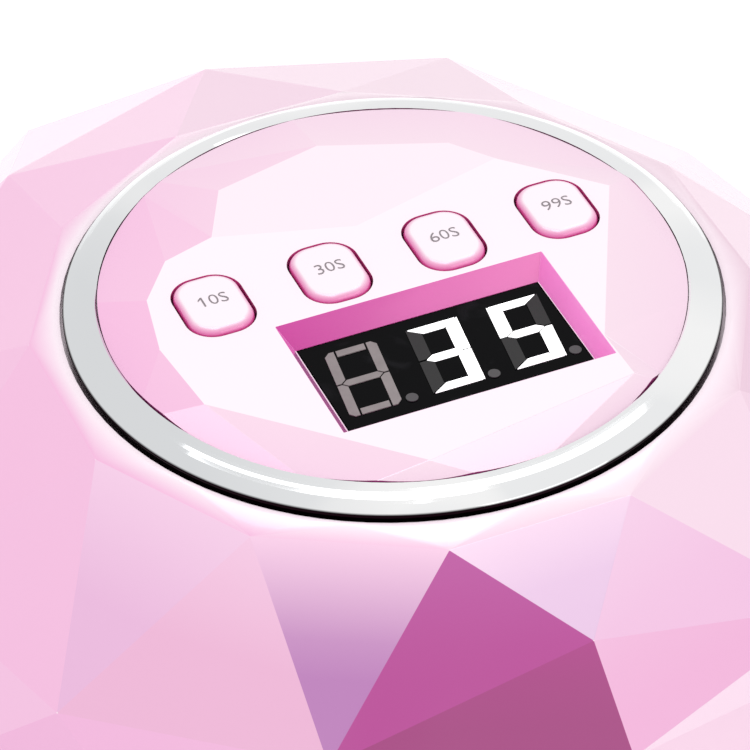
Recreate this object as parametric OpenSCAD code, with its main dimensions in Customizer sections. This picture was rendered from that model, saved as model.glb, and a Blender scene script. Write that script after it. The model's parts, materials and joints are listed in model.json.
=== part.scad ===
// Table-top lamp with a faceted shell, for curing nail gel.
// Millimetres, +Z up, front towards -Y. The origin is on the table under the middle of the body.

/* [Body] */
// Width over the lower facets
body_w = 212; // [208:1:224]
// Depth over the lower facets
body_d = 206; // [204:1:216]
// Height of the control panel's flat above the table
body_h = 96; // [96:1:104]
// Wall of the faceted shell
wall = 2.4; // [2:0.1:2.8]
// How far the control panel sits in front of the middle of the body
panel_forward = 5; // [4:0.5:6]

/* [Control panel] */
// Radius of the faceted control panel
panel_r = 42.7; // [42.3:0.1:42.8]
// Width of the bright ring round the panel
ring_w = 5; // [4.4:0.1:5.1]
// Sideways offset of the display and the button row
face_x = 1.3; // [0.5:0.1:1.3]
// Distance between neighbouring buttons
button_pitch = 18.1; // [17:0.1:18.6]
// Width of a button cap
button_w = 9.9; // [9.6:0.1:10.6]
// Size of a button cap from front to back
button_d = 13; // [12.2:0.1:13]
// How far a button can be pressed
button_travel = 0.6; // [0.3:0.1:0.7]

/* [Display] */
// Width of the three-digit module
display_w = 37.6; // [36:0.1:37.8]
// Size of the module from front to back
display_d = 19; // [18:0.1:19.2]
// Distance between neighbouring digits
digit_pitch = 12.7; // [12:0.1:12.7]

/* [Hand opening] */
// Width inside the hand opening
mouth_w = 148; // [140:1:148]
// Height of the ceiling above the table
mouth_h = 48; // [44:1:48]

/* [Hidden] */
$fn = 64;
eps = 0.01;

// ---- facet corners ----------------------------------------------------------------------------
// Each corner is [angle from +X, distance from the panel's centre, drop below the panel's flat],
// listed from the front to the back of the right half. mirrored() adds the left half.
// The collar is nearly round: it has four corners for each corner of the brow.
collar = [for (i = [0:47]) [7.5 * i - 75, 49.2, 4]];
brow_half = [for (a = [-75:30:75]) [a, 53, 5.4]];
waist_half = [
    [-90, 68.5, 12.7], [-60, 77, 22.5], [-30, 78, 25.7], [0, 78, 27], [30, 78, 25.7], [60, 74, 14.6],
    [90, 75, 12.9]
];
hip_half = [[-90, 81.6, 23], [-45, 86.5, 36], [-15, 91, 44], [15, 92, 45], [45, 94, 40], [77, 101, 34]];
// The two lowest rings are ellipses of the body's own width and depth.
belt_z = 28;
rim_z = 5;
rim_scale = 0.97;

function on_centre(corner) = abs(cos(corner[0])) < eps;
function mirrored(half) = concat(
    half,
    [for (i = [len(half) - 1:-1:0]) if (!on_centre(half[i])) [180 - half[i][0], half[i][1], half[i][2]]]
);
function crown_ring(corners, inset, inward, down) = [
    for (c = corners)
        let (r = c[1] - inset * inward)
            [r * cos(c[0]), r * sin(c[0]) - panel_forward, body_h - c[2] - inset * down]
];
function oval_ring(first_angle, size, z) = [
    for (i = [0:11])
        let (a = first_angle + 30 * i) [(body_w / 2 - size) * cos(a), (body_d / 2 - size) * sin(a), z]
];
function scaled_ring(ring, factor) = [for (p = ring) [p.x * factor, p.y * factor, p.z]];

// The brow and the rings below it have 12 corners, except the hip, whose two front corners meet in one.
function hip_index(k) = k % 12 == 11 ? 0 : k % 12;
collar_at = 0;
brow_at = 48;
waist_at = 60;
hip_at = 72;
belt_at = 83;
rim_at = 95;

// Triangles between five corners of the collar and two corners of the brow.
function collar_fan(k) =
    let (first = collar_at + 4 * k, last = collar_at + (4 * k + 4) % 48)
    let (brow = brow_at + k, next_brow = brow_at + (k + 1) % 12)
        [
            [first, first + 1, brow],
            [first + 1, first + 2, brow],
            [first + 2, next_brow, brow],
            [first + 2, first + 3, next_brow],
            [first + 3, last, next_brow]
        ];

// Triangles between an upper ring whose corner k comes before the lower ring's corner k.
function zigzag_down(k) = [
    [waist_at + k, waist_at + (k + 1) % 12, hip_at + hip_index(k)],
    [belt_at + k, belt_at + (k + 1) % 12, rim_at + k],
    [rim_at + (k + 1) % 12, rim_at + k, belt_at + (k + 1) % 12],
    [brow_at + k, brow_at + (k + 1) % 12, waist_at + (k + 1) % 12],
    [waist_at + (k + 1) % 12, waist_at + k, brow_at + k],
    [belt_at + (k + 1) % 12, belt_at + k, hip_at + hip_index(k)]
];
// Triangles that stand on an edge of the hip ring. The front corner has no such edge.
function zigzag_hip(k) = [
    [hip_at + hip_index(k + 1), hip_at + hip_index(k), waist_at + (k + 1) % 12],
    [hip_at + hip_index(k), hip_at + hip_index(k + 1), belt_at + (k + 1) % 12]
];

// The faceted body, solid, with its surface moved inwards by inset.
module body_solid(inset, foot_z) {
    points = concat(
        crown_ring(collar, inset, 0.4, 1.05),
        crown_ring(mirrored(brow_half), inset, 0.5, 1.05),
        crown_ring(mirrored(waist_half), inset, 0.7, 0.95),
        crown_ring(mirrored(hip_half), inset, 0.95, 0.7),
        oval_ring(-90, inset * 1.08, belt_z),
        scaled_ring(oval_ring(-75, inset * 1.08, foot_z), rim_scale)
    );
    faces = concat(
        [for (k = [0:11]) each collar_fan(k)],
        [for (k = [0:11]) each zigzag_down(k)],
        [for (k = [0:10]) each zigzag_hip(k)],
        [[for (k = [47:-1:0]) collar_at + k], [for (k = [0:11]) rim_at + k]]
    );
    polyhedron(points, faces);
}

// ---- heights, measured down from the panel's flat ----------------------------------------------
plate_t = 3;
shelf_top = 5.5;
shelf_t = 1.8;
face_drop = 2.9;
board_drop = 10.9;
board_t = 1.6;
under_board = board_drop + board_t;
socket_t = 5;

module at_panel() translate([0, -panel_forward, body_h]) children();
module at_face(y) at_panel() translate([face_x, y, 0]) children();
module below(top, bottom) translate([0, 0, -bottom]) linear_extrude(bottom - top) children();

module rounded(w, d, r) {
    square([w - 2 * r, d], center = true);
    square([w, d - 2 * r], center = true);
    for (x = [-1, 1], y = [-1, 1]) translate([x * (w / 2 - r), y * (d / 2 - r)]) circle(r);
}

display_y = -15.9;
button_y = 4.8;
lug_r = 37;
lug_angles = [-90, -20, 90, 200];
post_spots = [[-31, -22], [31, -22], [-35, 13.5], [35, 13.5]];
shelf_inner = 40.5;
shelf_outer = 51;
seat_r = panel_r + ring_w + 0.6;

// ---- shell --------------------------------------------------------------------------------------
boss_spots = [for (side = [-1, 1], spot = [[86, -30], [90, 8], [74, 52]]) [side * spot.x, spot.y]];
tab_t = 1.8;
liner_wall = 1.8;
jack_z = 16;
jack_face = 97;
jack_back = 93.6;
jack_nose_r = 4;
jack_depth = 9.5;

module panel_shelf() {
    lug = 4.2;
    at_panel()
        below(shelf_top, shelf_top + shelf_t) {
            difference() {
                circle(shelf_outer);
                circle(shelf_inner);
            }
            for (a = lug_angles)
                rotate(a) {
                    translate([lug_r, 0]) circle(lug);
                    translate([lug_r, -lug]) square([5, 2 * lug]);
                }
        }
}

module shell_bosses() {
    intersection() {
        body_solid(wall / 2, rim_z);
        for (spot = boss_spots) {
            out = sign(spot.x);
            translate([spot.x, spot.y, rim_z + tab_t]) {
                cylinder(r = 3.6, h = 30);
                translate([out > 0 ? 0 : -16, -0.9, 0]) cube([16, 1.8, 22]);
            }
        }
    }
}

module jack_pad() {
    intersection() {
        body_solid(wall / 2, rim_z);
        translate([0, jack_back, jack_z]) rotate([-90, 0, 0]) cylinder(r = 9, h = 12);
    }
}

slope_run = 16;
slope_rise = 20;
slope_angle = atan2(slope_rise, slope_run);

// Points round a corner of radius r that turns from direction `from` to direction `to`.
function corner_arc(corner, from, to, r) =
    let (turn = to - from, reach = r * tan(turn / 2), steps = 4)
    let (start = corner - reach * [cos(from), sin(from)])
    let (centre = start + r * [-sin(from), cos(from)])
        [for (i = [0:steps]) centre + r * [sin(from + turn * i / steps), -cos(from + turn * i / steps)]];

// Cross-section of the hand space from its middle outwards, grown by t.
function hand_section(t, floor_z) =
    let (side = mouth_w / 2 + t, top = mouth_h + t, lean = t * tan((90 - slope_angle) / 2), r = 6 + t)
        concat(
            [[0, floor_z], [side, floor_z]],
            corner_arc([side, mouth_h - slope_rise + lean], 90, 180 - slope_angle, r),
            corner_arc([mouth_w / 2 - slope_run + t * tan(slope_angle / 2), top], 180 - slope_angle, 180, r),
            [[0, top]]
        );
hand_back = -4;

// The hand space: straight from the front, then half a turn round its back end.
module hand_space(t, floor_z, front) {
    translate([0, hand_back, 0]) {
        rotate([90, 0, 0])
            linear_extrude(front) {
                polygon(hand_section(t, floor_z));
                mirror([1, 0]) polygon(hand_section(t, floor_z));
            }
        rotate_extrude(angle = 180) polygon(hand_section(t, floor_z));
    }
}

module top_shell() {
    color([0.96, 0.74, 0.86])
        difference() {
            union() {
                difference() {
                    body_solid(0, rim_z);
                    body_solid(wall, rim_z - 1);
                    at_panel() below(-1, board_drop) circle(shelf_inner);
                }
                panel_shelf();
                shell_bosses();
                jack_pad();
            }
            at_panel() {
                below(-1, shelf_top) circle(seat_r);
                for (a = lug_angles) rotate(a) translate([lug_r, 0]) below(0, board_drop) circle(1.3);
            }
            intersection() {
                hand_space(liner_wall + 0.3, -1, 120);
                translate([-100, -130, -1]) cube([200, 90, 100]);
            }
            for (spot = boss_spots) translate([spot.x, spot.y, 0]) cylinder(r = 1.2, h = 26);
            translate([0, jack_face, jack_z]) rotate([-90, 0, 0]) cylinder(r = 6.5, h = 10);
            translate([0, 90, jack_z]) rotate([-90, 0, 0]) cylinder(r = jack_nose_r + 0.1, h = 20);
        }
}

// ---- ring and control panel ---------------------------------------------------------------------
module chrome_ring() {
    inner = panel_r + 0.15;
    outer = panel_r + ring_w + 0.15;
    inner_drop = 1.2;
    outer_drop = 3;
    bulge = 0.4;
    edge = 0.3;
    steps = 8;
    crown = [
        for (i = [0:steps])
            let (u = i / steps)
                let (r = inner + edge + (outer - inner - 2 * edge) * u)
                    [r, -inner_drop - (outer_drop - inner_drop) * u + bulge * sin(180 * u)]
    ];
    color([0.86, 0.87, 0.89])
        at_panel()
            rotate_extrude()
                polygon(concat(
                    [[inner, -shelf_top], [inner, -inner_drop - edge]],
                    crown,
                    [[outer, -outer_drop - edge], [outer, -shelf_top]]
                ));
}

button_gap = 0.4;
cap_corner = 3.9;
button_hole = [button_w, button_d] + 2 * button_gap * [1, 1];
button_xs = [for (i = [-1.5:1:1.5]) i * button_pitch];

// The panel's low relief. Corners are [angle from +X, distance from the panel's centre, drop].
// The flat's corners come first: 0, 1, 5 to 12 and the notch at its back, 13. Corners 2, 3 and 4
// are the far side of two barely tilted facets that fill the notch.
relief_inner = [
    [10, 38.5, 0], [38, 32, 0], [52, 33.3, 0.15], [86, 34.1, 0.4], [117, 33.4, 0.2], [136, 28.2, 0],
    [149, 33.3, 0], [164, 35.6, 0], [182, 36.5, 0], [203, 38.1, 0], [254, 40.2, 0], [304, 40.5, 0],
    [313, 33, 0], [90, 13.3, 0]
];
// Corners outside the panel's edge, so that the edge cuts through the outer facets.
relief_outer = [
    [12, 46, 1.8], [50, 46, 1.7], [88, 46, 1.8], [122, 46, 1.7], [160, 46, 1.9], [195, 46, 2],
    [236, 46, 2.3], [269, 46, 2.4], [308, 46, 2.4], [335, 46, 1.9]
];
outer_at = len(relief_inner);
foot_at = outer_at + len(relief_outer);

module panel_relief() {
    foot = [for (c = relief_outer) [c[0], c[1], shelf_top + 1]];
    points = [for (c = concat(relief_inner, relief_outer, foot)) [c[1] * cos(c[0]), c[1] * sin(c[0]), -c[2]]];
    flat_and_notch = [[for (i = [12:-1:5]) i, 13, 1, 0], [13, 2, 1], [13, 3, 2], [13, 4, 3], [13, 5, 4]];
    // Triangles that stand on an edge of the inner corners, each with its outer corner.
    on_inner = [
        for (t = [[0, 0], [1, 1], [2, 2], [3, 3], [4, 3], [5, 3], [6, 4], [7, 4], [8, 5], [9, 6], [10, 7],
                  [11, 8], [12, 9]])
            [t[0], (t[0] + 1) % 13, outer_at + t[1]]
    ];
    // Triangles that stand on an edge of the outer corners, each with its inner corner.
    on_outer = [
        for (t = [[0, 1], [1, 2], [2, 3], [3, 6], [4, 8], [5, 9], [6, 10], [7, 11], [8, 12], [9, 0]])
            [t[1], outer_at + (t[0] + 1) % 10, outer_at + t[0]]
    ];
    walls = [
        for (k = [0:9])
            [outer_at + k, outer_at + (k + 1) % 10, foot_at + (k + 1) % 10, foot_at + k]
    ];
    polyhedron(points, concat(flat_and_notch, on_inner, on_outer, walls, [[for (k = [0:9]) foot_at + k]]));
}

module control_panel() {
    color([0.97, 0.78, 0.88])
        difference() {
            union() {
                at_panel()
                    difference() {
                        intersection() {
                            below(-1, shelf_top) circle(panel_r);
                            panel_relief();
                        }
                        below(plate_t, shelf_top + 1) circle(panel_r - 2.2);
                    }
                at_panel() {
                    for (spot = post_spots) translate(spot) below(plate_t - 0.5, board_drop) circle(2.4);
                    for (a = lug_angles)
                        rotate(a) translate([lug_r, 0]) below(plate_t - 0.5, shelf_top) circle(2.8);
                }
            }
            at_face(display_y) {
                window_cut();
                below(face_drop - 0.1, 5) square([display_w + 0.4, display_d + 0.4], center = true);
            }
            at_face(button_y)
                for (x = button_xs)
                    translate([x, 0])
                        below(-1, 5) rounded(button_hole.x, button_hole.y, cap_corner + button_gap);
            at_panel() {
                for (spot = post_spots) translate(spot) below(plate_t + 1.5, board_drop + 1) circle(0.9);
                for (a = lug_angles)
                    rotate(a) translate([lug_r, 0]) below(2.2, shelf_top + 1) circle(0.9);
            }
        }
}

// The sloping walls round the display.
module window_cut() {
    wide = 41.8;
    deep = 25.2;
    over = 0.2;
    grow = over / face_drop;
    top = [wide + (wide - display_w) * grow, deep + (deep - display_d) * grow];
    translate([0, 0, -face_drop])
        linear_extrude(
            face_drop + over,
            slices = 1,
            scale = [top.x / (display_w + 0.6), top.y / (display_d + 0.4)]
        )
            square([display_w + 0.6, display_d + 0.4], center = true);
}

// ---- buttons --------------------------------------------------------------------------------------
flange_top = 3.3;
flange_bottom = 4.2;
switch_h = 3.5;
// The button's stem stands on the plunger, which has more way to go than the button.
stem_bottom = board_drop - switch_h - 0.9 - button_travel;

// A cap with a low dome, on a flange that keeps it under the panel.
module button(i) {
    dome_r = 31;
    proud = 1.1;
    color([0.98, 0.85, 0.92])
        at_face(button_y)
            translate([button_xs[i], 0, 0]) {
                intersection() {
                    below(-proud - 1, flange_bottom) rounded(button_w, button_d, cap_corner);
                    translate([0, 0, proud - dome_r]) sphere(dome_r);
                }
                below(flange_top, flange_bottom) rounded(button_hole.x + 1, button_hole.y + 1.2, 4.8);
                below(flange_top, stem_bottom) circle(2);
            }
}

module plunger(i) {
    color([0.12, 0.12, 0.13])
        at_face(button_y)
            translate([button_xs[i], 0, 0]) below(stem_bottom, board_drop - switch_h + 1.1) circle(1.7);
}

module switch_bases() {
    color([0.62, 0.63, 0.65])
        at_face(button_y)
            for (x = button_xs)
                translate([x, 0, 0])
                    difference() {
                        below(board_drop - switch_h, board_drop) square(6, center = true);
                        below(0, board_drop - 0.9) circle(2);
                    }
}

// ---- display --------------------------------------------------------------------------------------
lit_bar = [2.1, 1.45];
spare_bar = [1.5, 1.25];
digit_w = 8;
digit_h = 14.2;
slant = 0.128;
inlay_t = 0.15;

module display_case() {
    color([0.05, 0.05, 0.06])
        at_face(display_y) below(face_drop, board_drop) square([display_w, display_d], center = true);
}

// One bar of a digit. size is [width of the upright bars, height of the level ones]. The bars, numbered:
// top, upper right, lower right, bottom, lower left, upper left, middle. Bars meet in a mitre, or, if
// they are blunt, the upright ones run past the level ones and have their outer corners cut off.
module segment(n, size, blunt) {
    x = digit_w / 2;
    y = digit_h / 2;
    gap = 0.16;
    inner = [x - size.x, y - size.y];
    split = blunt ? inner.x : x;
    corner = blunt ? [[x, y - size.x / 2], [x - size.x / 2, y], [split, y]] : [[x, y]];
    upright = concat([[inner.x, size.y / 2 + gap], [x - size.x / 2, gap], [x, gap]], corner, [inner]);
    level = [[2 * gap - split, y], [split - 2 * gap, y], inner - [2 * gap, 0], [2 * gap - inner.x, inner.y]];
    half_middle = [[0, size.y / 2], [inner.x - gap, size.y / 2], [x - size.x / 2 - gap, 0], [0, 0]];
    if (n == 6) for (sx = [0, 1], sy = [0, 1]) mirror([sx, 0]) mirror([0, sy]) polygon(half_middle);
    else if (n % 3 == 0) mirror([0, n == 3 ? 1 : 0]) polygon(level);
    else mirror([n > 3 ? 1 : 0, 0]) mirror([0, n == 2 || n == 4 ? 1 : 0]) polygon(upright);
}

module digit(place, bars, size, blunt = false)
    at_face(display_y)
        translate([place * digit_pitch, 0, 0])
            multmatrix([[1, slant, 0, 0], [0, 1, 0, 0], [0, 0, 1, 0]])
                below(face_drop - inlay_t, face_drop) for (n = bars) segment(n, size, blunt);

module lit_segments() {
    color("white") {
        digit(0, [0, 1, 2, 3, 6], lit_bar);
        digit(1, [0, 5, 6, 2, 3], lit_bar);
    }
}

module unlit_segments() {
    color([0.55, 0.52, 0.52]) {
        digit(-1, [0:6], spare_bar, blunt = true);
        digit(0, [4, 5], lit_bar);
        digit(1, [1, 4], lit_bar);
    }
}

module decimal_dots() {
    color([0.5, 0.48, 0.48])
        at_face(display_y)
            for (place = [-1:1])
                translate([place * digit_pitch + 4.7, -6.6, 0])
                    below(face_drop - inlay_t, face_drop) circle(0.9);
}

module display_pins() {
    color([0.8, 0.8, 0.78])
        at_face(display_y)
            for (i = [-2.5:2.5], y = [-7.6, 7.6])
                translate([i * 2.54, y, 0]) below(under_board, under_board + 1.6) circle(0.3);
}

// ---- control board ----------------------------------------------------------------------------------
module control_board() {
    color([0.1, 0.42, 0.25])
        at_panel()
            difference() {
                below(board_drop, under_board) translate([0, -4.5]) rounded(77, 43, 2);
                for (spot = post_spots) translate(spot) below(board_drop - 1, under_board + 1) circle(1.2);
            }
}

module buzzer() {
    color([0.08, 0.08, 0.08])
        at_panel()
            translate([-22, -12, 0])
                difference() {
                    below(under_board, under_board + 5) circle(4.5);
                    below(under_board + 4, under_board + 6) circle(0.8);
                }
}

module control_chip() {
    color([0.12, 0.12, 0.13])
        at_panel()
            translate([22, -12, 0]) below(under_board, under_board + 1.8) square([7, 10], center = true);
}

board_sockets = [[-12, 8], [0, -20]];
power_y = 84;
power_socket_z = 40;

module cable_sockets() {
    color([0.93, 0.92, 0.86]) {
        at_panel()
            for (spot = board_sockets)
                translate(spot) below(under_board, under_board + socket_t) square([11, 5], center = true);
        for (x = [-12, 12]) translate([x - 5, power_y - 5, power_socket_z]) cube([10, 5, socket_t]);
    }
}

// A screw that points up, with the underside of its cross-slotted head at 0.
module screw(shank_r, head_r, length, head_t) {
    slot = head_r * 1.2;
    slot_w = head_r * 0.28;
    translate([0, 0, -head_t / 4]) cylinder(r = shank_r, h = length + head_t / 4);
    difference() {
        translate([0, 0, -head_t]) cylinder(r = head_r, h = head_t);
        for (a = [0, 90])
            rotate(a) translate([-slot / 2, -slot_w / 2, -head_t - 1]) cube([slot, slot_w, 1 + head_t / 2]);
    }
}

module control_board_screws() {
    color("silver")
        at_panel()
            for (spot = post_spots) translate([spot.x, spot.y, -under_board]) screw(0.85, 2, 7, 1.2);
}

module panel_screws() {
    color("silver")
        at_panel()
            for (a = lug_angles)
                rotate(a) translate([lug_r, 0, -shelf_top - shelf_t]) screw(0.85, 2.2, 4.4, 1.2);
}

// ---- liner and lamps ----------------------------------------------------------------------------------
board_out = liner_wall + 0.4;
led_z = mouth_h + board_out;
led_board_t = 1.6;
slope_mid = [mouth_w / 2 - slope_run / 2, mouth_h - slope_rise / 2];
top_spots = [for (x = [-30, 0, 30], y = [-62:28:22]) [x, y]];
side_spots = [for (u = [-5.5, 5.5], y = [-50:17:18]) [y, u]];
rear_spots = [for (u = [-5.5, 5.5], x = [-11, 11]) [x, u]];
lens_r = 3.9;
sensor_y = -80;

// Puts children on the inside face of a sloping wall, with Z pointing outwards through the wall.
module on_side(side)
    mirror([side < 0 ? 1 : 0, 0, 0])
        translate([slope_mid.x, 0, slope_mid.y]) rotate([0, slope_angle, 0]) children();
module on_rear()
    translate([0, hand_back + slope_mid.x, slope_mid.y]) rotate([-slope_angle, 0, 0]) children();
// Repeats children at every lamp, with Z pointing from the hand outwards and 0 on the liner's face.
module at_lamps() {
    for (spot = top_spots) translate([spot.x, spot.y, mouth_h]) children();
    for (side = [-1, 1], spot = side_spots) on_side(side) translate([spot[1], spot[0], 0]) children();
    for (spot = rear_spots) on_rear() translate([spot[0], spot[1], 0]) children();
}

module reflector_liner() {
    color([0.93, 0.94, 0.95])
        difference() {
            intersection() {
                body_solid(0.4, rim_z);
                union() {
                    difference() {
                        hand_space(liner_wall, rim_z, 120);
                        hand_space(0, rim_z - 1, 130);
                    }
                    difference() {
                        hand_space(9, rim_z, 42);
                        translate([-150, -150, rim_z + tab_t]) cube([300, 300, 100]);
                        hand_space(0, rim_z - 1, 130);
                    }
                    for (spot = boss_spots)
                        translate([spot.x, spot.y, rim_z]) {
                            cylinder(r = 4.2, h = tab_t);
                            translate([spot.x > 0 ? -14 : 0, -4.2, 0]) cube([14, 8.4, tab_t]);
                        }
                }
            }
            at_lamps() translate([0, 0, -4]) cylinder(r = lens_r + 0.2, h = 9);
            at_board_screws() translate([0, 0, 0.4]) cylinder(r = 1.1, h = 4);
            for (spot = boss_spots) translate([spot.x, spot.y, 0]) cylinder(r = 1.7, h = 20);
            translate([-13, sensor_y - 4, mouth_h - 1]) cube([26, 8, 5]);
            hand_space(0, rim_z - 1, 60);
        }
}

module board_holes() at_board_screws() cylinder(r = 1.2, h = 8);

module led_board_top()
    color([0.9, 0.91, 0.9])
        difference() {
            translate([0, -20, led_z]) linear_extrude(led_board_t) rounded(84, 104, 6);
            board_holes();
        }

module led_board_side(side)
    color([0.9, 0.91, 0.9])
        difference() {
            on_side(side) translate([-10.5, -59, board_out]) cube([21, 86, led_board_t]);
            board_holes();
        }

module led_board_rear()
    color([0.9, 0.91, 0.9])
        difference() {
            on_rear() translate([-20, -10.5, board_out]) cube([40, 21, led_board_t]);
            board_holes();
        }

module led_chips()
    color([0.93, 0.85, 0.35]) at_lamps() translate([-2.5, -2.5, liner_wall - 0.4]) cube([5, 5, 0.8]);

module led_lenses() {
    dome_r = 5;
    color([0.8, 0.85, 0.95])
        at_lamps()
            intersection() {
                translate([0, 0, -2]) cylinder(r = lens_r, h = liner_wall + 2 - 0.4);
                translate([0, 0, dome_r - 1.6]) sphere(dome_r);
            }
}

// Repeats children at every screw of the lamp boards, with 0 on the liner's inside face.
module at_board_screws() {
    for (x = [-15, 15], y = [-48, 8]) translate([x, y, mouth_h]) children();
    for (side = [-1, 1], y = [-41, 9]) on_side(side) translate([0, y, 0]) children();
    on_rear() children();
}

module led_board_screws()
    color("silver")
        at_board_screws()
            translate([0, 0, board_out + led_board_t])
                mirror([0, 0, 1]) screw(1, 2.1, led_board_t + 1.4, 1.3);

module sensor_window()
    color([0.1, 0.02, 0.06]) translate([-12.8, sensor_y - 3.8, mouth_h]) cube([25.6, 7.6, 1.6]);

module sensor_board()
    color([0.1, 0.42, 0.25]) translate([-15, sensor_y - 4, mouth_h + 6]) cube([30, 10, 1.2]);

module sensor_diodes()
    color([0.2, 0.2, 0.24])
        for (x = [-7, 7])
            translate([x, sensor_y, mouth_h + 1.8]) cylinder(r = 2, h = 4.2);

// ---- power ------------------------------------------------------------------------------------------
module power_board()
    color([0.1, 0.42, 0.25]) translate([-32, power_y, rim_z + 0.4]) cube([64, 1.6, 46]);

module power_heat_sink() {
    color([0.75, 0.76, 0.78])
        translate([-31.5, power_y - 3, 30]) {
            cube([14, 3, 16]);
            for (i = [0:3]) translate([i * 4, -3, 0]) cube([1.6, 3 + eps, 16]);
        }
}

module power_capacitors()
    color([0.15, 0.18, 0.35])
        for (x = [15, 24]) translate([x, power_y + 1.6, 30]) rotate([-90, 0, 0]) cylinder(r = 4, h = 5.5);

module power_inductor()
    color([0.5, 0.33, 0.15])
        translate([-16, power_y + 1.6, 38])
            rotate([-90, 0, 0])
                difference() {
                    cylinder(r = 6, h = 5);
                    translate([0, 0, -1]) cylinder(r = 2.6, h = 7);
                }

module power_chip()
    color([0.12, 0.12, 0.13]) translate([-4, power_y + 1.6, 36]) cube([8, 1.6, 6]);

module dc_jack() {
    color([0.08, 0.08, 0.09])
        difference() {
            union() {
                translate([-5, power_y + 1.6, jack_z - 5.5]) cube([10, jack_back - power_y - 1.6, 11]);
                translate([0, jack_back - 2, jack_z])
                    rotate([-90, 0, 0]) cylinder(r = jack_nose_r, h = jack_face - jack_back + 2);
            }
            translate([0, jack_face - jack_depth, jack_z]) rotate([-90, 0, 0]) cylinder(r = 2.85, h = 20);
        }
}

module dc_jack_pin()
    color([0.8, 0.8, 0.78])
        translate([0, jack_face - jack_depth, jack_z]) rotate([-90, 0, 0]) cylinder(r = 1.05, h = 8.5);

// Unit normal of the line from a to b.
function normal(a, b) = [a.y - b.y, b.x - a.x] / norm(b - a);
// Half the thickness t of a bent strip at point i, as a step sideways that keeps the strip even.
function mitre(points, i, t) =
    let (last = len(points) - 1)
    let (before = normal(points[max(i - 1, 0)], points[max(i, 1)]))
    let (after = normal(points[min(i, last - 1)], points[min(i + 1, last)]))
        (before + after) / (1 + before * after) * t / 2;

// A flat cable of the given width along points in the YZ plane, centred on x.
module flat_cable(points, width, x) {
    t = 0.6;
    last = len(points) - 1;
    left = [for (i = [0:last]) points[i] + mitre(points, i, t)];
    right = [for (i = [last:-1:0]) points[i] - mitre(points, i, t)];
    translate([x - width / 2, 0, 0]) rotate([90, 0, 90]) linear_extrude(width) polygon(concat(left, right));
}

board_socket_z = body_h - under_board - socket_t;
power_cable_end = [[81.5, 50], [81.5, power_socket_z + socket_t]];

module control_cable() {
    y = board_sockets[0].y - panel_forward;
    route = concat([[y, board_socket_z], [y, 72], [40, 65], [75, 57]], power_cable_end);
    color([0.85, 0.2, 0.2]) flat_cable(route, 8, -12);
}

module led_cable() {
    z = led_z + led_board_t + 0.4;
    route = concat([[20, z], [60, z], [74, 53]], power_cable_end);
    color([0.2, 0.2, 0.22]) flat_cable(route, 8, 12);
}

module sensor_cable() {
    y = board_sockets[1].y - panel_forward;
    route = [[sensor_y, mouth_h + 7.6], [-72, 60], [-50, 70], [y, 74], [y, board_socket_z]];
    color([0.85, 0.85, 0.85]) flat_cable(route, 6, 0);
}

// ---- base -------------------------------------------------------------------------------------------
frame_bottom = 2;
tray_half = 69.5;
tray_top = 3.1;
tray_bottom = 1.2;
ledge_inner = 60;
lip_r = body_d / 2;
lip_h = 6;
foot_spots = [for (side = [-1, 1], spot = [[78, -44], [62, 66]]) [side * spot.x, spot.y]];
magnet_spots = [for (a = [60, 120]) [65 * cos(a), hand_back + 65 * sin(a)]];
magnet_bottom = tray_top + 0.6;

module rim_outline(inset) polygon([for (p = scaled_ring(oval_ring(-75, inset, 0), rim_scale)) [p.x, p.y]]);

// A U in plan, open at the front, round at the back.
module u_outline(half) {
    translate([-half, hand_back - 120]) square([2 * half, 120]);
    translate([0, hand_back]) circle(half);
}

module base_frame() {
    color([0.95, 0.95, 0.96])
        difference() {
            translate([0, 0, frame_bottom]) linear_extrude(rim_z - frame_bottom) rim_outline(0.6);
            translate([0, 0, frame_bottom - 1]) linear_extrude(10) u_outline(ledge_inner);
            linear_extrude(tray_top + 0.3) u_outline(tray_half + 0.5);
            for (spot = boss_spots) translate([spot.x, spot.y, 0]) {
                cylinder(r = 1.7, h = 20);
                cylinder(r = 3.3, h = frame_bottom + 1.6);
            }
            for (spot = foot_spots) translate([spot.x, spot.y, 0]) cylinder(r = 6.2, h = frame_bottom + 0.8);
            for (x = [-24:12:24]) translate([x, 80, 0]) linear_extrude(10) rounded(3, 12, 1.4);
            for (spot = magnet_spots) translate([spot.x, spot.y, magnet_bottom]) cylinder(r = 3.1, h = 10);
        }
}

module base_screws()
    color("silver")
        for (spot = boss_spots) translate([spot.x, spot.y, frame_bottom + 1.6]) screw(1.15, 3, 14, 1.4);

module rubber_feet()
    color([0.15, 0.15, 0.16])
        for (spot = foot_spots)
            translate([spot.x, spot.y, 0]) cylinder(r = 6, h = frame_bottom + 0.8);

module magnets()
    color([0.6, 0.6, 0.63])
        for (spot = magnet_spots)
            translate([spot.x, spot.y, magnet_bottom]) cylinder(r = 3, h = rim_z - magnet_bottom);

module tray() {
    color([0.95, 0.95, 0.96])
        difference() {
            union() {
                translate([0, 0, tray_bottom])
                    linear_extrude(tray_top - tray_bottom)
                        intersection() {
                            u_outline(tray_half);
                            circle(lip_r);
                        }
                translate([0, 0, tray_bottom])
                    linear_extrude(lip_h)
                        difference() {
                            intersection() {
                                u_outline(ledge_inner - 1);
                                circle(lip_r);
                            }
                            circle(lip_r - 2.4);
                            translate([-100, -60]) square(200);
                        }
            }
            for (spot = magnet_spots) translate([spot.x, spot.y, tray_top - 0.9]) cylinder(r = 3.6, h = 5);
        }
}

module tray_discs()
    color([0.7, 0.7, 0.72])
        for (spot = magnet_spots) translate([spot.x, spot.y, tray_top - 0.9]) cylinder(r = 3.5, h = 0.8);

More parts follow.
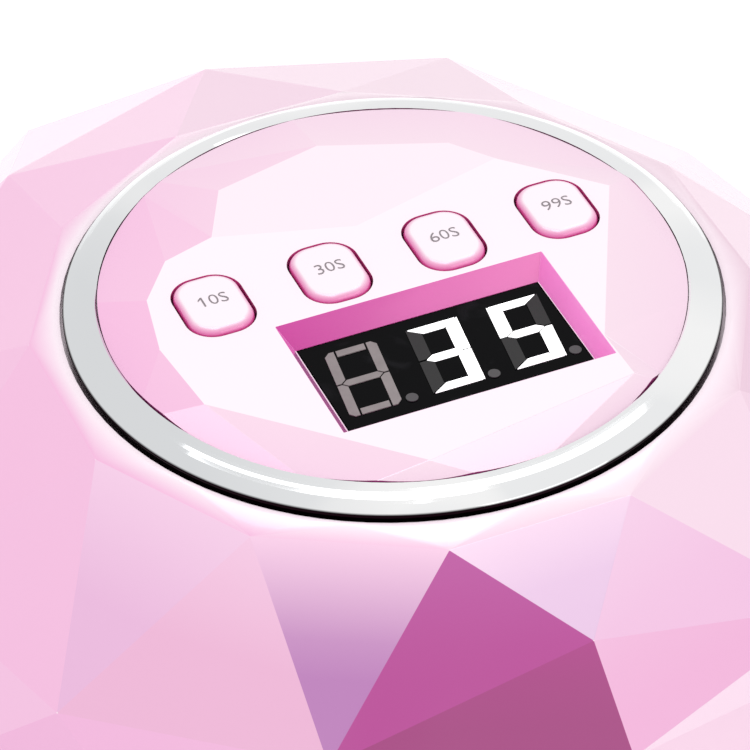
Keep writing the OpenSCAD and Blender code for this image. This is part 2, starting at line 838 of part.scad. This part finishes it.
top_shell();
chrome_ring();
control_panel();
button(0);  // button_10s
button(1);  // button_30s
button(2);  // button_60s
button(3);  // button_99s
plunger(0);  // plunger_10s
plunger(1);  // plunger_30s
plunger(2);  // plunger_60s
plunger(3);  // plunger_99s
display_case();
lit_segments();
unlit_segments();
decimal_dots();
display_pins();
control_board();
switch_bases();
buzzer();
control_chip();
cable_sockets();
control_board_screws();
panel_screws();
reflector_liner();
led_board_top();
led_board_side(-1);  // led_board_left
led_board_side(1);  // led_board_right
led_board_rear();
led_chips();
led_lenses();
led_board_screws();
sensor_window();
sensor_board();
sensor_diodes();
power_board();
power_heat_sink();
power_capacitors();
power_inductor();
power_chip();
dc_jack();
dc_jack_pin();
control_cable();
led_cable();
sensor_cable();
base_frame();
base_screws();
rubber_feet();
magnets();
tray();
tray_discs();
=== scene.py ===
"""Looks of a faceted table-top lamp for curing nail gel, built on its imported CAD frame.

Metres, +Z up, front towards -Y."""

import collections
import json
import math
import random

import bmesh
import bpy
from mathutils import Matrix, Vector


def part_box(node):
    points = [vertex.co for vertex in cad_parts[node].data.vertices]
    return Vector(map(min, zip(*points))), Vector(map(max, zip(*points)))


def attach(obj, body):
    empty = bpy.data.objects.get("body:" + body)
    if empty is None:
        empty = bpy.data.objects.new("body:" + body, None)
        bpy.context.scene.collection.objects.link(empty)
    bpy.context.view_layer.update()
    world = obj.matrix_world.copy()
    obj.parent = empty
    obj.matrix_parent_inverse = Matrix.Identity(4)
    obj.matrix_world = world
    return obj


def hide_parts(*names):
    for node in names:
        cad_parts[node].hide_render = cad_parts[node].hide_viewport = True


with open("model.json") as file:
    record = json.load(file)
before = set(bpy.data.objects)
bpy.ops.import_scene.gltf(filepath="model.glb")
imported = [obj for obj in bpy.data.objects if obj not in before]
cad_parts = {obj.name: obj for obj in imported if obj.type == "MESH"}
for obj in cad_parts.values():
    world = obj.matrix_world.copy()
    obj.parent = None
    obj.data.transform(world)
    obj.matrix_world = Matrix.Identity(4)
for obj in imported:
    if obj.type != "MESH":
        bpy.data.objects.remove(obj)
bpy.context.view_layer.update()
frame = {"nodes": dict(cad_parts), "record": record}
NODES = frame["nodes"]
MM = 0.001
SEED = 7


# ---- sizes, all taken from the frame -----------------------------------------------------------
panel_low, panel_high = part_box("control_panel")
panel_flat = panel_high.z
panel_r = (panel_high.x - panel_low.x) / 2
panel = Vector(((panel_low.x + panel_high.x) / 2, (panel_low.y + panel_high.y) / 2, panel_flat))
ring_low, ring_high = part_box("chrome_ring")
ring_r = (ring_high.x - ring_low.x) / 2
display_low, display_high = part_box("display_case")
shell_core = Vector((0, 0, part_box("top_shell")[1].z / 3))
BUTTONS = ("10s", "30s", "60s", "99s")


# ---- colours -----------------------------------------------------------------------------------
def linear(red, green, blue):
    """An sRGB colour of 0 to 255 as linear red, green, blue and alpha."""
    def channel(value):
        value /= 255
        return value / 12.92 if value <= 0.04045 else ((value + 0.055) / 1.055) ** 2.4
    return (channel(red), channel(green), channel(blue), 1.0)


def blend_colours(a, b, share):
    return tuple(x + (y - x) * share for x, y in zip(a, b))


PALE = linear(250, 226, 239)
BLUSH = linear(222, 184, 204)
ROSE = linear(244, 182, 220)
LILAC = linear(240, 206, 235)
ORCHID = linear(226, 150, 208)
VIOLET = linear(184, 118, 182)
MAGENTA = linear(186, 68, 156)
DEEP_MAGENTA = linear(160, 40, 120)
HOT_PINK = linear(234, 84, 172)
# Painted shade: dark wine for the gap beside the ring and the foot of each cap.
GAP_SHADE_WINE = linear(92, 4, 52)
WHITE_PINK = linear(252, 240, 248)
SHADOW = linear(24, 8, 16)
FILTER = (0.001, 0.001, 0.0015, 1.0)
DUST = (0.009, 0.009, 0.011, 1.0)


# ---- node graphs -------------------------------------------------------------------------------
def add(tree, kind, inputs=None, **settings):
    """Adds a shader node. An input is a value, or another node's output to link."""
    node = tree.nodes.new(kind)
    for name, value in settings.items():
        setattr(node, name, value)
    for name, value in (inputs or {}).items():
        if isinstance(value, bpy.types.NodeSocket):
            tree.links.new(value, node.inputs[name])
        else:
            node.inputs[name].default_value = value
    return node


def start_material(name, **sockets):
    """A Principled material with constants on its sockets, its node tree and its shader."""
    material = bpy.data.materials.new(name)
    material.use_nodes = True
    tree = material.node_tree
    shader = tree.nodes["Principled BSDF"]
    for socket, value in sockets.items():
        shader.inputs[socket.replace("_", " ")].default_value = value
    return material, tree, shader


def noise(tree, scale, detail=3.0, distortion=0.0):
    place = add(tree, "ShaderNodeTexCoord")
    return add(
        tree, "ShaderNodeTexNoise",
        {"Vector": place.outputs["Object"], "Scale": scale, "Detail": detail, "Distortion": distortion},
    ).outputs["Fac"]


def between(tree, value, low, high, start=0.0, end=1.0):
    """Maps start to end onto low to high, and keeps to them outside."""
    limits = {"From Min": start, "From Max": end, "To Min": low, "To Max": high}
    return add(tree, "ShaderNodeMapRange", {"Value": value, **limits}).outputs["Result"]


def mix(tree, factor, a, b):
    """A blend of two colours, a where the factor is 0 and b where it is 1."""
    return add(tree, "ShaderNodeMix", {0: factor, 6: a, 7: b}, data_type="RGBA").outputs[2]


def bump(tree, shader, height, strength, depth):
    node = add(tree, "ShaderNodeBump", {"Height": height, "Strength": strength, "Distance": depth})
    tree.links.new(node.outputs["Normal"], shader.inputs["Normal"])


def moulded(name, colour, roughness, grain=900.0, relief=0.05, shade=0.12, **sockets):
    """A plastic or metal with fine relief, cloudy roughness and a slight change of shade."""
    material, tree, shader = start_material(name, **sockets)
    cloud = noise(tree, 45.0, 4.0)
    darker = tuple(c * (1 - shade) for c in colour[:3]) + (1.0,)
    tree.links.new(mix(tree, cloud, colour, darker), shader.inputs["Base Color"])
    tree.links.new(between(tree, cloud, roughness * 0.75, roughness * 1.25), shader.inputs["Roughness"])
    bump(tree, shader, noise(tree, grain), relief, 0.0002)
    return material


def painted(name, roughness, lighten, **sockets):
    """Pearl paint: the tint comes from the mesh, with soft clouds of pearl in it."""
    material, tree, shader = start_material(name, **sockets)
    tint = add(tree, "ShaderNodeAttribute", attribute_name="tint").outputs["Color"]
    cloud = between(tree, noise(tree, 22.0, 2.0, 0.6), 0.0, lighten)
    tree.links.new(mix(tree, cloud, tint, WHITE_PINK), shader.inputs["Base Color"])
    cloudy = between(tree, noise(tree, 60.0), roughness * 0.8, roughness * 1.2)
    tree.links.new(cloudy, shader.inputs["Roughness"])
    bump(tree, shader, noise(tree, 140.0, 1.0), 0.03, 0.0002)
    return material


def display_black(name):
    """Smoked filter: nearly black, with faint dust and smears."""
    material, tree, shader = start_material(name, Specular_IOR_Level=0.05)
    smear = between(tree, noise(tree, 130.0, 5.0, 1.5), 0.0, 1.0, 0.58, 0.8)
    tree.links.new(mix(tree, smear, FILTER, DUST), shader.inputs["Base Color"])
    tree.links.new(between(tree, smear, 0.16, 0.4), shader.inputs["Roughness"])
    bump(tree, shader, noise(tree, 2500.0), 0.04, 0.0001)
    return material


def display_light(name):
    """Lit bars: white, with a slight unevenness."""
    material, tree, shader = start_material(name, Base_Color=(1, 1, 1, 1), Emission_Color=(1, 1, 1, 1))
    tree.links.new(between(tree, noise(tree, 700.0), 0.9, 1.25), shader.inputs["Emission Strength"])
    tree.links.new(between(tree, noise(tree, 900.0), 0.25, 0.45), shader.inputs["Roughness"])
    return material


def display_unlit(name):
    """Unlit bars: their own grey, milky with a painted reflection in the left digit, nearly black in the two
    that are in use.
    """
    material, tree, shader = start_material(name, Roughness=0.4)
    place = add(tree, "ShaderNodeTexCoord").outputs["Object"]
    x = add(tree, "ShaderNodeSeparateXYZ", {"Vector": place}).outputs["X"]
    third = display_low.x + (display_high.x - display_low.x) / 3
    dark = add(tree, "ShaderNodeMath", {0: x, 1: third}, operation="GREATER_THAN").outputs["Value"]
    # The left digit's bars are their own grey with a painted reflection; the other two are nearly black.
    grey = mix(tree, noise(tree, 500.0), linear(150, 142, 142), linear(126, 118, 119))
    tree.links.new(mix(tree, dark, grey, linear(9, 8, 10)), shader.inputs["Base Color"])
    bump(tree, shader, noise(tree, 1500.0), 0.05, 0.0001)
    return material


def plated(name):
    """Bright plating with painted reflections: pale grey patches, and a little greyer towards the ring's
    left.

    The ring's upright outer wall is toned dark, as it stands in its shadow gap."""
    material, tree, shader = start_material(name, Metallic=1.0)
    place = add(tree, "ShaderNodeTexCoord").outputs["Object"]
    offset = add(tree, "ShaderNodeVectorMath", {0: place, 1: panel}, operation="SUBTRACT").outputs["Vector"]
    level = add(tree, "ShaderNodeVectorMath", {0: offset, 1: (1, 1, 0)}, operation="MULTIPLY")
    distance = add(tree, "ShaderNodeVectorMath", {0: level.outputs["Vector"]}, operation="LENGTH")
    across = add(tree, "ShaderNodeSeparateXYZ", {0: offset}).outputs["X"]
    wall = between(tree, distance.outputs["Value"], 0.0, 1.0, ring_r - 0.3 * MM, ring_r - 0.1 * MM)
    # Painted reflections: pale grey patches, and grey towards the ring's left.
    painted_reflection_patches = between(tree, noise(tree, 26.0, 1.0, 1.2), 0.0, 1.0, 0.6, 0.5)
    left = between(tree, across, 1.0, 0.0, -0.85 * ring_r, -0.35 * ring_r)
    cloud = mix(tree, painted_reflection_patches, linear(254, 254, 254), linear(244, 245, 246))
    plate = mix(tree, left, cloud, linear(224, 226, 228))
    tree.links.new(mix(tree, wall, plate, SHADOW), shader.inputs["Base Color"])
    tree.links.new(between(tree, noise(tree, 200.0), 0.04, 0.09), shader.inputs["Roughness"])
    bump(tree, shader, noise(tree, 60.0, 1.0), 0.02, 0.0002)
    return material


def lens(name):
    material, tree, shader = start_material(name, Transmission_Weight=0.75, IOR=1.49, Coat_Weight=0.5)
    glass = mix(tree, noise(tree, 300.0), linear(236, 240, 250), linear(214, 222, 242))
    tree.links.new(glass, shader.inputs["Base Color"])
    tree.links.new(between(tree, noise(tree, 400.0), 0.04, 0.12), shader.inputs["Roughness"])
    bump(tree, shader, noise(tree, 1200.0), 0.03, 0.0001)
    return material


GLOSS = {"Coat_Weight": 0.6, "Coat_Roughness": 0.04}
MATERIALS = {
    "pearl_pink_shell": painted("pearl_pink_shell", 0.24, 0.06, Metallic=0.15, **GLOSS),
    "pearl_pink_panel": painted("pearl_pink_panel", 0.22, 0.06, Metallic=0.1, **GLOSS),
    "pearl_pink_button": painted("pearl_pink_button", 0.2, 0.03, Metallic=0.1, **GLOSS),
    "bright_chrome": plated("bright_chrome"),
    "black_display": display_black("black_display"),
    "lit_white": display_light("lit_white"),
    "unlit_grey": display_unlit("unlit_grey"),
    "unlit_dot": moulded("unlit_dot", linear(66, 63, 66), 0.35, Coat_Weight=0.3),
    "black_plastic": moulded("black_plastic", linear(38, 38, 41), 0.45),
    "green_board": moulded(
        "green_board", linear(28, 108, 62), 0.35, grain=300.0, relief=0.2, shade=0.3, Coat_Weight=0.4,
    ),
    "switch_metal": moulded("switch_metal", linear(190, 190, 190), 0.3, Metallic=1.0),
    "ivory_socket": moulded("ivory_socket", linear(236, 228, 206), 0.45),
    "zinc_screw": moulded("zinc_screw", linear(205, 208, 212), 0.25, grain=600.0, relief=0.15, Metallic=1.0),
    "silver_liner": moulded(
        "silver_liner", linear(232, 234, 238), 0.14, grain=60.0, relief=0.08, shade=0.06, Metallic=0.9,
    ),
    "aluminium_board": moulded("aluminium_board", linear(222, 224, 222), 0.4, Metallic=0.4),
    "yellow_chip": moulded("yellow_chip", linear(238, 214, 110), 0.35, grain=1500.0, relief=0.15),
    "clear_lens": lens("clear_lens"),
    "dark_window": moulded("dark_window", linear(48, 12, 30), 0.12, Coat_Weight=0.6),
    "blue_sleeve": moulded("blue_sleeve", linear(38, 46, 110), 0.3),
    "copper_winding": moulded(
        "copper_winding", linear(196, 120, 62), 0.35, grain=3000.0, relief=0.5, shade=0.3, Metallic=0.8,
    ),
    "cable_red": moulded("cable_red", linear(196, 40, 42), 0.45, grain=1800.0, relief=0.3),
    "cable_grey": moulded("cable_grey", linear(140, 140, 144), 0.45, grain=1800.0, relief=0.3),
    "white_base": moulded("white_base", linear(243, 240, 242), 0.38, grain=1600.0, relief=0.12, shade=0.05),
    "black_rubber": moulded("black_rubber", linear(40, 40, 42), 0.75, grain=1400.0, relief=0.35),
    "nickel_magnet": moulded("nickel_magnet", linear(188, 188, 192), 0.22, Metallic=1.0),
}


def dress(obj, slot):
    """Gives a mesh the material of a slot of the record."""
    obj.data.materials.clear()
    obj.data.materials.append(MATERIALS[slot])
    return obj


# ---- new pieces --------------------------------------------------------------------------------
def add_piece(name, mesh, slot, body):
    obj = bpy.data.objects.new(name, mesh)
    bpy.context.scene.collection.objects.link(obj)
    dress(obj, slot)
    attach(obj, body)
    return obj


def finish_mesh(bm, name, sharp_angle):
    """Smooth shading with sharp edges kept, as a new mesh."""
    for face in bm.faces:
        face.smooth = True
    for edge in bm.edges:
        edge.smooth = len(edge.link_faces) == 2 and edge.calc_face_angle(0.0) < math.radians(sharp_angle)
    mesh = bpy.data.meshes.new(name)
    bm.to_mesh(mesh)
    bm.free()
    return mesh


def keep_facets_flat(obj):
    flat = obj.modifiers.new("flat_facets", "WEIGHTED_NORMAL")
    flat.keep_sharp = True
    flat.weight = 100


def bearing(point):
    """Direction of a point from the panel's centre, in degrees from +X, seen from above."""
    return math.degrees(math.atan2(point.y - panel.y, point.x - panel.x)) % 360


def radius(point):
    return math.hypot(point.x - panel.x, point.y - panel.y)


Facet = collections.namedtuple("Facet", "centre normal area high low")


def facet_of(face):
    heights = [vert.co.z for vert in face.verts]
    return Facet(face.calc_center_median(), face.normal.copy(), face.calc_area(), max(heights), min(heights))


def average(colours):
    return tuple(sum(colour[i] for colour in colours) / len(colours) for i in range(4))


def softened_copy(node, name, tint_of, is_skin, is_round, width, smallest, cuts=()):
    """A copy of a CAD node whose flat skin facets have rounded edges and tints of their own.

    tint_of gives the colour of a facet at a place on it. Facets meet in rounded strips, and a strip's
    corners take the tints of the facets beside it. Two round facets only share their shading. Cuts are
    heights at which facets are split, so that their tints can change down the facet."""
    bm = bmesh.new()
    bm.from_mesh(NODES[node].data)
    bmesh.ops.remove_doubles(bm, verts=bm.verts, dist=1e-6)
    level = [e for e in bm.edges if all(abs(f.normal.z) < 0.995 for f in e.link_faces)]
    bmesh.ops.dissolve_limit(bm, angle_limit=math.radians(0.4), verts=bm.verts, edges=level)
    number = bm.faces.layers.int.new("facet")
    bm.faces.index_update()
    for face in bm.faces:
        face[number] = face.index
    facets = [facet_of(face) for face in bm.faces]
    skin_numbers = {i for i, facet in enumerate(facets) if facet.area > smallest and is_skin(facet)}
    for height in cuts:
        geometry = list(bm.verts) + list(bm.edges) + list(bm.faces)
        bmesh.ops.bisect_plane(bm, geom=geometry, dist=1e-7, plane_co=(0, 0, height), plane_no=(0, 0, 1))
    skin = {face for face in bm.faces if face[number] in skin_numbers}
    rounded = {face for face in skin if is_round(facets[face[number]])}
    creases = [
        e for e in bm.edges
        if len(e.link_faces) == 2 and skin.issuperset(e.link_faces) and not rounded.issuperset(e.link_faces)
        and math.radians(2) < e.calc_face_angle(0.0) < math.radians(80)
    ]
    bmesh.ops.bevel(
        bm, geom=creases, offset=width, offset_type="OFFSET", segments=3, profile=0.5, affect="EDGES",
        clamp_overlap=True,
    )
    bm.normal_update()
    turned = math.cos(math.radians(0.5))
    strips = {face for face in bm.faces if face.normal.dot(facets[face[number]].normal) < turned}
    layer = bm.loops.layers.float_color.new("tint")
    at_corner = {}
    for face in bm.faces:
        if face in strips:
            continue
        for loop in face.loops:
            loop[layer] = tint_of(facets[face[number]], loop.vert.co)
            if face[number] in skin_numbers:
                at_corner.setdefault(loop.vert, []).append(tuple(loop[layer]))
    for face in strips:
        for loop in face.loops:
            near = at_corner.get(loop.vert)
            if near is None:
                near = [t for e in loop.vert.link_edges for t in at_corner.get(e.other_vert(loop.vert), [])]
            loop[layer] = average(near or [PALE])
    obj = add_piece(name, finish_mesh(bm, name, 35), SLOT_OF[node], BODY_OF[node])
    keep_facets_flat(obj)
    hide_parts(node)
    return obj


SLOT_OF = {part["node"]: part["material_slot"] for part in frame["record"]["subparts"]}
BODY_OF = {node: body for body, members in frame["record"]["behaviour"]["bodies"].items() for node in members}
for node, obj in NODES.items():
    dress(obj, SLOT_OF[node])


# ---- shell -------------------------------------------------------------------------------------
# Facets with painted reflections, deep magenta and violet where they mirror dark surroundings: [bearing of
# the facet's centre in degrees, its drop below the panel's flat in mm, tint at its highest corner, tint at
# its lowest].
# A large facet within the bearing and the level below is the one meant.
ACCENT_NEAR = 4
ACCENT_LEVEL = 1.2
ACCENT_AREA = 100 * MM * MM
PAINTED_REFLECTION_ACCENTS = [
    [240, 11, linear(246, 202, 229), VIOLET],
    [254, 13.5, MAGENTA, linear(180, 50, 144)],
    [260, 19.4, linear(172, 44, 132), DEEP_MAGENTA],
    [245, 27, MAGENTA, DEEP_MAGENTA],
    [270, 7.8, linear(240, 208, 231), linear(225, 190, 222)],
    [286, 13.5, linear(242, 202, 229), linear(238, 188, 222)],
    [280, 19.4, linear(238, 182, 217), linear(236, 172, 212)],
    [225, 18, linear(244, 198, 226), linear(236, 178, 212)],
    [210, 12, linear(244, 202, 230), linear(232, 180, 218)],
    [264, 38, MAGENTA, VIOLET],
    [239, 40.6, ORCHID, LILAC],
]
chance = random.Random(SEED)
JITTER = [chance.random() for _ in range(64)]
HALO_R = ring_r + 5.2 * MM
LEFT = 175
RIGHT = 20
BACK = 55


def towards(side, at):
    """1 within 50 degrees of a side, fading to 0 at 95 degrees from it."""
    away = abs((at - side + 180) % 360 - 180)
    return min(max((95 - away) / 45, 0), 1)


def shell_tint_and_painted_light(facet, place):
    """Painted reflections on the pearl pink: rose on the left, blush on the right, deeper lower down, with a
    change from facet to facet; also a painted highlight beside the ring and painted shade in its gap.
    """
    drop = (panel.z - facet.centre.z) / MM
    at = bearing(facet.centre)
    fall = (facet.high - place.z) / max(facet.high - facet.low, MM)
    # Painted reflections: the listed accent facets are deep magenta and violet, graded down the facet.
    for accent_at, accent_drop, top, bottom in PAINTED_REFLECTION_ACCENTS:
        near = abs(accent_at - at) < ACCENT_NEAR and abs(accent_drop - drop) < ACCENT_LEVEL
        if near and facet.area > ACCENT_AREA:
            return blend_colours(top, bottom, min(1, fall * 1.9))
    if facet.normal.dot(facet.centre - shell_core) < 0:
        return PALE
    # Painted shade: upright faces in the gap beside the ring are dark wine.
    if radius(facet.centre) < ring_r + 1.5 * MM and abs(facet.normal.z) < 0.3:
        return GAP_SHADE_WINE
    # Painted highlight: the collar beside the ring is near white, going blush towards the back.
    if in_halo(facet) and radius(place) < ring_r + 3 * MM:
        back = max(0, math.cos(math.radians(at - BACK)))
        return blend_colours(blend_colours(WHITE_PINK, PALE, 0.4), BLUSH, 0.5 * back)
    # Painted reflections: rose towards the left, blush towards the right, deeper with orchid and lilac lower
    # down.
    left = towards(LEFT, at)
    right = towards(RIGHT, at)
    low = min(max((drop - 6) / 60, 0), 1)
    roll = JITTER[int(at / 6 + drop * 0.7) % len(JITTER)]
    tint = blend_colours(blend_colours(PALE, BLUSH, right * 0.75), ROSE, min(1, left + low * 0.6))
    tint = blend_colours(tint, ORCHID if roll > 0.55 else LILAC, low * roll * 0.8)
    return blend_colours(WHITE_PINK, tint, 0.94 + 0.06 * fall)


def on_shell_skin(facet):
    return facet.normal.dot(facet.centre - shell_core) > 0 and radius(facet.centre) > ring_r


def in_halo(facet):
    """Whether a facet of the shell is part of the nearly round collar beside the ring."""
    return radius(facet.centre) < HALO_R and facet.normal.z > 0.5


CUT_DROPS = (7, 9, 11, 13, 16, 20)
softened_copy(
    "top_shell", "shell", shell_tint_and_painted_light, on_shell_skin, in_halo, width=0.7 * MM, smallest=6 * MM * MM,
    cuts=[panel_flat - drop * MM for drop in CUT_DROPS],
)


# ---- control panel -----------------------------------------------------------------------------
def recess_painted_light(facet, place):
    """The walls round the display, with painted light: the far wall pales from painted shade on the left to
    pink on the right, and the others are a painted highlight pink.
    """
    across = (place.x - display_low.x) / (display_high.x - display_low.x)
    if facet.normal.y < -0.5:
        return blend_colours(linear(202, 0, 152), linear(232, 110, 184), min(max(across, 0), 1))
    return linear(255, 140, 220)


def panel_tint_and_painted_light(facet, place):
    """Painted light: white on the flat, pink on the low facets round it, rose to the left and orchid at the
    rim, hot pink on upright walls, deep magenta on the outer ones.
    """
    inner = radius(facet.centre) < 0.75 * panel_r
    # Painted shade: upright walls are hot pink, deep magenta round the panel's outer edge.
    if facet.normal.z < 0.25:
        return DEEP_MAGENTA if radius(facet.centre) > panel_r - 1 * MM else HOT_PINK
    if facet.normal.z < 0.9 and inner:
        return recess_painted_light(facet, place)
    if facet.normal.z > 0.9999:
        return WHITE_PINK
    if inner:
        return blend_colours(WHITE_PINK, PALE, 0.5)
    # Painted reflections: rose towards the left, with a touch of orchid at the rim.
    left = max(0, math.cos(math.radians(bearing(facet.centre) - 172))) ** 2
    tint = blend_colours(blend_colours(PALE, BLUSH, 0.25), ROSE, left * 0.95)
    return tint if radius(place) < panel_r - 1 * MM else blend_colours(tint, ORCHID, 0.12)


def on_panel_skin(facet):
    return facet.normal.z > 0.3 and facet.centre.z > display_high.z


softened_copy(
    "control_panel", "faceted_panel", panel_tint_and_painted_light, on_panel_skin, lambda facet: False,
    width=0.35 * MM, smallest=2 * MM * MM,
)


# ---- buttons -----------------------------------------------------------------------------------
def rounded_outline(half, corner, steps=8):
    """Points round a rounded square, counter-clockwise from the middle of its right side."""
    points = []
    for quarter in range(4):
        turn = quarter * math.pi / 2
        for i in range(steps + 1):
            a = turn + i * math.pi / 2 / steps
            cx = (half.x - corner) * (1 if quarter in (0, 3) else -1)
            cy = (half.y - corner) * (1 if quarter in (0, 1) else -1)
            points.append((cx + corner * math.cos(a), cy + corner * math.sin(a)))
    return points


MARK_RISE = 0.03 * MM
DOME = 0.3 * MM
SHOULDER = 1.2 * MM
CAP_FOOT = 1.8 * MM
SIDE_BAND = 0.6 * MM


def cap_half(time, centre):
    """Half the width and depth of a button's cap, the part that stands above the panel's flat."""
    corners = [vert.co - centre for vert in NODES["button_" + time].data.vertices if vert.co.z > panel_flat]
    return Vector((max(corner.x for corner in corners), max(corner.y for corner in corners)))


def button_cap(time):
    """A cap with softly rounded shoulders and painted light: white on top, hot pink down its sides, a painted
    dark magenta reflection low on them and painted shade at its foot.

    Each ring of the cap is (how far it is set in, its height from the cap's top, its tint)."""
    low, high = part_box("button_" + time)
    centre = Vector(((low.x + high.x) / 2, (low.y + high.y) / 2, high.z - MARK_RISE))
    half = cap_half(time, centre)
    # Painted shade at the foot in the gap, a painted dark magenta reflection above it, and a shoulder going
    # from hot pink to white as painted light.
    rings = [(0, low.z - high.z + CAP_FOOT, GAP_SHADE_WINE), (0, -DOME - SHOULDER - SIDE_BAND, DEEP_MAGENTA)]
    for i in range(7):
        a = math.radians(15 * i)
        colour = blend_colours(HOT_PINK, WHITE_PINK, min(1, i / 5) ** 2)
        rings.append((SHOULDER * (1 - math.cos(a)), -DOME - SHOULDER * (1 - math.sin(a)), colour))
    for share in (0.8, 0.6, 0.4, 0.2):
        rings.append((SHOULDER + (half.x - SHOULDER) * (1 - share), -DOME * share * share, WHITE_PINK))
    bm = bmesh.new()
    layer = bm.loops.layers.float_color.new("tint")
    colours = {}
    loops = []
    outline = rounded_outline(half, half.x * 0.75)
    for inset, z, colour in rings:
        scale = 1 - inset / half.x
        loop = [bm.verts.new(centre + Vector((x * scale, y * scale, z))) for x, y in outline]
        colours.update({vert: colour for vert in loop})
        loops.append(loop)
    for below, above in zip(loops, loops[1:]):
        for i in range(len(below)):
            j = (i + 1) % len(below)
            bm.faces.new((below[i], below[j], above[j], above[i]))
    top = bm.verts.new(centre)
    colours[top] = WHITE_PINK
    for i in range(len(loops[-1])):
        bm.faces.new((loops[-1][i], loops[-1][(i + 1) % len(loops[-1])], top))
    bm.faces.new(list(reversed(loops[0])))
    for face in bm.faces:
        for corner_loop in face.loops:
            corner_loop[layer] = colours[corner_loop.vert]
    name = "button_cap_" + time
    obj = add_piece(name, finish_mesh(bm, name, 60), SLOT_OF["button_" + time], BODY_OF["button_" + time])
    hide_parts("button_" + time)
    return centre, half


def add_flag(mesh):
    """Gives the stroke at the left end of a mark the short flag of a figure 1."""
    left = min(vert.co.x for vert in mesh.vertices)
    top = max(vert.co.y for vert in mesh.vertices)
    flag = 0.5 * MM
    stroke = 0.24 * MM
    bm = bmesh.new()
    bm.from_mesh(mesh)
    outline = [(0, 0), (-flag, -flag), (-flag, -flag - stroke), (0, -stroke * 1.4)]
    bm.faces.new([bm.verts.new((left + x, top + y, 0)) for x, y in outline])
    bm.to_mesh(mesh)
    bm.free()


def button_mark(time, centre, half):
    """The printed time, thin grey letters that follow the cap's dome."""
    text = bpy.data.curves.new("mark", "FONT")
    text.body = time.upper()
    text.size = 3.2 * MM
    text.align_x = "CENTER"
    text.align_y = "CENTER"
    text.offset = -0.03 * MM
    text.resolution_u = 4
    holder = bpy.data.objects.new("mark", text)
    bpy.context.scene.collection.objects.link(holder)
    bpy.context.view_layer.update()
    mesh = bpy.data.meshes.new_from_object(holder.evaluated_get(bpy.context.evaluated_depsgraph_get()))
    bpy.data.objects.remove(holder)
    if time.startswith("1"):
        add_flag(mesh)
    for vert in mesh.vertices:
        reach = vert.co.xy.length / half.x
        vert.co = centre + Vector((vert.co.x, vert.co.y, MARK_RISE - DOME * reach * reach))
    add_piece("mark_" + time, mesh, SLOT_OF["button_" + time], BODY_OF["button_" + time])
    bpy.data.objects["mark_" + time].data.materials[0] = INK


INK = moulded("grey_ink", linear(138, 128, 134), 0.5)
for time in BUTTONS:
    button_mark(time, *button_cap(time))


# ---- stage -------------------------------------------------------------------------------------
def add_floor():
    """A pale floor just under the feet, with a faint glow that keeps it near white."""
    floor_mesh = bpy.data.meshes.new("floor")
    reach = 6.0
    floor_mesh.from_pydata(
        [(-reach, -reach, 0), (reach, -reach, 0), (reach, reach, 0), (-reach, reach, 0)], [], [(0, 1, 2, 3)],
    )
    floor = bpy.data.objects.new("floor", floor_mesh)
    bpy.context.scene.collection.objects.link(floor)
    floor.location.z = -0.05 * MM
    floor_mesh.materials.append(moulded(
        "pale_floor", (0.95, 0.95, 0.95, 1.0), 0.7, grain=200.0, relief=0.02, shade=0.01,
        Emission_Color=(1, 1, 1, 1), Emission_Strength=0.15,
    ))


def add_light(name, place, target, size, power):
    data = bpy.data.lights.new(name, "AREA")
    data.shape = "RECTANGLE"
    data.size, data.size_y = size
    data.energy = power
    light = bpy.data.objects.new(name, data)
    bpy.context.scene.collection.objects.link(light)
    light.location = place
    light.rotation_euler = (Vector(target) - Vector(place)).to_track_quat("-Z", "Y").to_euler()


def add_camera():
    """Looks down at the panel from the front left, from the photograph's distance, through a long lens."""
    data = bpy.data.cameras.new("camera")
    data.sensor_width = 36
    data.lens = 215.95
    camera = bpy.data.objects.new("camera", data)
    bpy.context.scene.collection.objects.link(camera)
    heading = Matrix.Rotation(math.radians(-22.42), 4, "Z")
    pitch = Matrix.Rotation(math.radians(90 - 40.26), 4, "X")
    roll = Matrix.Rotation(math.radians(-1.23), 4, "Z")
    place = Matrix.Translation(panel + Vector((-0.1952, -0.46585, 0.40943)))
    camera.matrix_world = place @ heading @ pitch @ roll
    bpy.context.scene.camera = camera


def add_world():
    world = bpy.data.worlds.new("studio")
    world.use_nodes = True
    world.node_tree.nodes["Background"].inputs["Color"].default_value = (1, 1, 1, 1)
    world.node_tree.nodes["Background"].inputs["Strength"].default_value = 0.9
    bpy.context.scene.world = world
    bpy.context.scene.view_settings.view_transform = "Standard"


add_floor()
add_light("overhead_left", (-0.1, 0.15, 1.15), (0, 0, 0.06), (0.34, 0.85), 1.1)
add_light("overhead_right", (0.3, 0.15, 1.15), (0, 0, 0.06), (0.38, 0.85), 1.2)
add_light("front", (0.5, -0.9, 0.8), (0, 0, 0.06), (0.8, 0.5), 1.0)
add_camera()
add_world()
